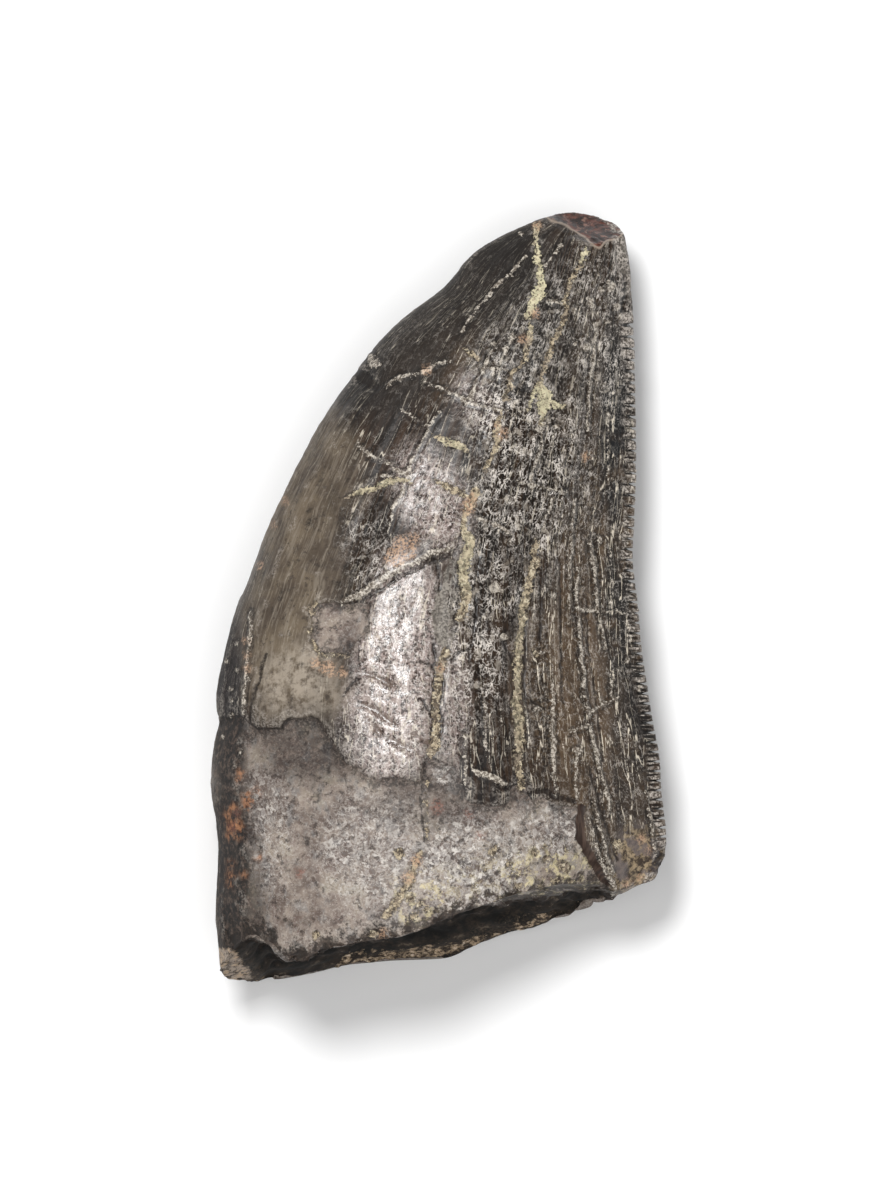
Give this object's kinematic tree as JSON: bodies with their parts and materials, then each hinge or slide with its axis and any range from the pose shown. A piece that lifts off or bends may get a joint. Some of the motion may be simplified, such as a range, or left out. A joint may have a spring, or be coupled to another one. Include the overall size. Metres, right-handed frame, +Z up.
{
  "type": "tyrannosaurus tooth",
  "caption": "Fossil crown of a serrated, blade-like carnivore tooth, broken across its base and worn at its tip, lying on its side.",
  "frame": {"origin": "on the surface the tooth lies on, below the middle of its outline seen from above", "axes": "+Y from the broken base to the worn tip, +X from the front edge to the serrated rear edge, +Z up through the face that shows"},
  "size_m": [0.0268, 0.0452, 0.0158],
  "materials": {
    "fossil_enamel": "dark brown mineralised enamel with a satin gloss, grey bare patches and pale mineral-filled cracks"
  },
  "bodies": {
    "root": {"tooth": "fossil_enamel"}
  },
  "joints": []
}
